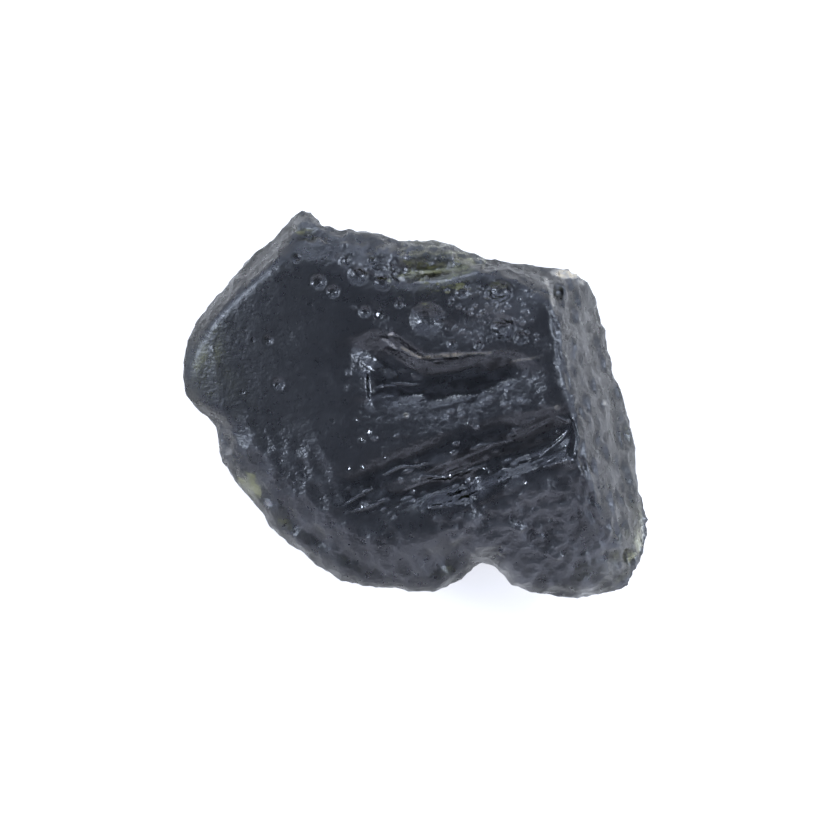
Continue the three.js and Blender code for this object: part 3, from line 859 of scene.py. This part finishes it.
def paint(piece):
    """Writes where the glass is polished, frosted, coarse and tan on its own points, and the cream marks,
    partly chips and partly painted highlights and painted light through thin edges.
    """
    skin = Skin(piece.data)
    share = regions(skin)
    _, frost = grains(skin)
    rough, bumps = patches(skin)
    frost = np.maximum.reduce([frost, PATCH_FROST * rough, bumps])
    for line, half_width, _ in THREADS:
        gap, _, _ = beside(skin.loose, line)
        frost = np.maximum(frost, THREAD_FROST * (1 - eased(gap / half_width, 0.2, 0.7)))
    for region, pitch, _, turn, stretch, tall, _, pale, seed in ETCHES:
        frost = np.maximum(frost, pale * cusps(skin, share[region], pitch, turn, stretch, tall, seed))
    polish = share["gouges"] * (1 - FROST_DULLS * frost)
    for x, y, radius, _ in BOWLS:
        (place,) = placed((x, y))
        polish = np.maximum(polish, BOWL_POLISH * blot(skin.plan, place, (radius, radius)) * skin.up)
    for x, y, radius in GLINTS:
        (place,) = placed((x, y))
        wide = radius * 1.3
        polish = np.maximum(polish, blot(skin.plan, place, (wide, wide), 0, 0.7) * skin.up)
    frost = np.maximum(frost, ETCHED_FROST * (1 - polish))
    coarse = PLAIN_GRAIN + (1 - PLAIN_GRAIN) * np.maximum.reduce([
        share["middle"], share["top_band"], share["right_face"], share["near_slopes"],
        share["near_lobe"], share["slab"], share["underside"], frost,
    ])
    painted = {
        "polish": polish,
        "frost": frost,
        "coarse": coarse * (1 - POLISH_SMOOTHS * polish),
        # Cream marks: partly crushed pale glass, partly painted highlights and painted light through thin
        # edges.
        "chip_and_painted_light": pale_marks(skin, CREAM_SPOTS, CREAM_LINES),
        "tan": pale_marks(skin, TAN_SPOTS, TAN_LINES),
    }
    for name, values in painted.items():
        layer = piece.data.attributes.new(name, "FLOAT", "POINT")
        layer.data.foreach_set("value", np.clip(values, 0, 1).astype(np.float32))


stone = fine_copy(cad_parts["moldavite"], "moldavite_stone")
close_net(stone, CLOSE_WORK)
shape_stone(Skin(stone.data))
thin_out(stone, NET_LIMIT)
paint(stone)
for face in stone.data.polygons:
    face.use_smooth = True
stone.data.materials.clear()
stone.data.materials.append(tektite_glass())
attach(stone, "root")
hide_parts("moldavite")


def pale_floor():
    """A wide plain white table top."""
    net = bmesh.new()
    bmesh.ops.create_grid(net, x_segments=1, y_segments=1, size=1.5)
    mesh = bpy.data.meshes.new("table_top")
    net.to_mesh(mesh)
    net.free()
    finish = Finish(bpy.data.materials.new("white_table"))
    shader = finish.tree.nodes.new("ShaderNodeBsdfPrincipled")
    shader.inputs["Base Color"].default_value = (0.95, 0.90, 0.81, 1)
    shader.inputs["Roughness"].default_value = 0.9
    shader.inputs["Specular IOR Level"].default_value = 0.0
    shader.inputs["Emission Color"].default_value = (1, 1, 1, 1)
    shader.inputs["Emission Strength"].default_value = 0.34
    output = finish.tree.nodes.new("ShaderNodeOutputMaterial")
    finish.tree.links.new(shader.outputs[0], output.inputs["Surface"])
    mesh.materials.append(finish.owner)
    floor = bpy.data.objects.new("table_top", mesh)
    bpy.context.scene.collection.objects.link(floor)
    return floor


floor = pale_floor()


def light_tent():
    """A soft cool dome of folded cloth, dim straight overhead where the lens looks in."""
    world = bpy.data.worlds.new("light_tent")
    bpy.context.scene.world = world
    finish = Finish(world)
    node = finish.node
    where = node("ShaderNodeTexCoord", give="Generated")
    height = node("ShaderNodeSeparateXYZ", give="Z", Vector=where)
    away = node("ShaderNodeSeparateXYZ", give="Y", Vector=where)
    near_side = node(
        "ShaderNodeMapRange",
        {"interpolation_type": "SMOOTHSTEP"},
        Value=away,
        From_Min=-0.6,
        From_Max=-0.15,
        To_Min=1.0,
        To_Max=0.0,
    )
    stops = [(0.0, 0.60), (0.25, 1.0), (0.6, 0.88), (0.76, 0.34), (1.0, 0.33)]
    ramp = node("ShaderNodeValToRGB", Fac=height - near_side * 0.03)
    bands = ramp.out.node.color_ramp.elements
    while len(bands) < len(stops):
        bands.new(0.5)
    for band, (place, level) in zip(bands, stops):
        band.position = place
        band.color = (level, level, level, 1)
    cloth = node("ShaderNodeTexNoise", Vector=where, Scale=4.5, Detail=1.0, Roughness=0.5)
    folds = node(
        "ShaderNodeMapRange", Value=cloth, From_Min=0.40, From_Max=0.60, To_Min=0.65, To_Max=1.35
    )
    back = finish.tree.nodes.new("ShaderNodeBackground")
    tint = blended(node, near_side, (0.63, 0.73, 1.0, 1), (0.69, 0.74, 0.94, 1))
    finish.tree.links.new(tint.out, back.inputs["Color"])
    strength = ramp * folds * 2.1
    finish.tree.links.new(strength.out, back.inputs["Strength"])
    output = finish.tree.nodes.new("ShaderNodeOutputWorld")
    finish.tree.links.new(back.outputs[0], output.inputs["Surface"])


def lamp(name, place, size, power, tint=(1, 1, 1)):
    """A small square lamp at a place in m, turned to the stone."""
    data = bpy.data.lights.new(name, "AREA")
    data.size = size
    data.energy = power
    data.color = tint
    made = bpy.data.objects.new(name, data)
    made.location = place
    made.rotation_euler = (-Vector(place)).to_track_quat("-Z", "Y").to_euler()
    bpy.context.scene.collection.objects.link(made)


light_tent()
for lamp_name, place, size, power in LAMPS:
    lamp(lamp_name, place, size, power, LAMP_TINT)
for panel_name, place, size, power in PANELS:
    lamp(panel_name, place, size, power, LAMP_TINT)

LENS = 300.0
SENSOR = 36.0
IMAGE_SIDE = 826
PIXEL = 0.056 * MM
AIM = Vector((-0.14 * MM, -0.45 * MM, 5 * MM))
camera_data = bpy.data.cameras.new("camera")
camera_data.lens = LENS
camera_data.sensor_width = SENSOR
camera_data.clip_start = 0.01
camera_data.clip_end = 10
camera = bpy.data.objects.new("camera", camera_data)
camera.location = AIM + UP * (IMAGE_SIDE * PIXEL * LENS / SENSOR)
bpy.context.scene.collection.objects.link(camera)
bpy.context.scene.camera = camera
bpy.context.scene.view_settings.view_transform = "Standard"
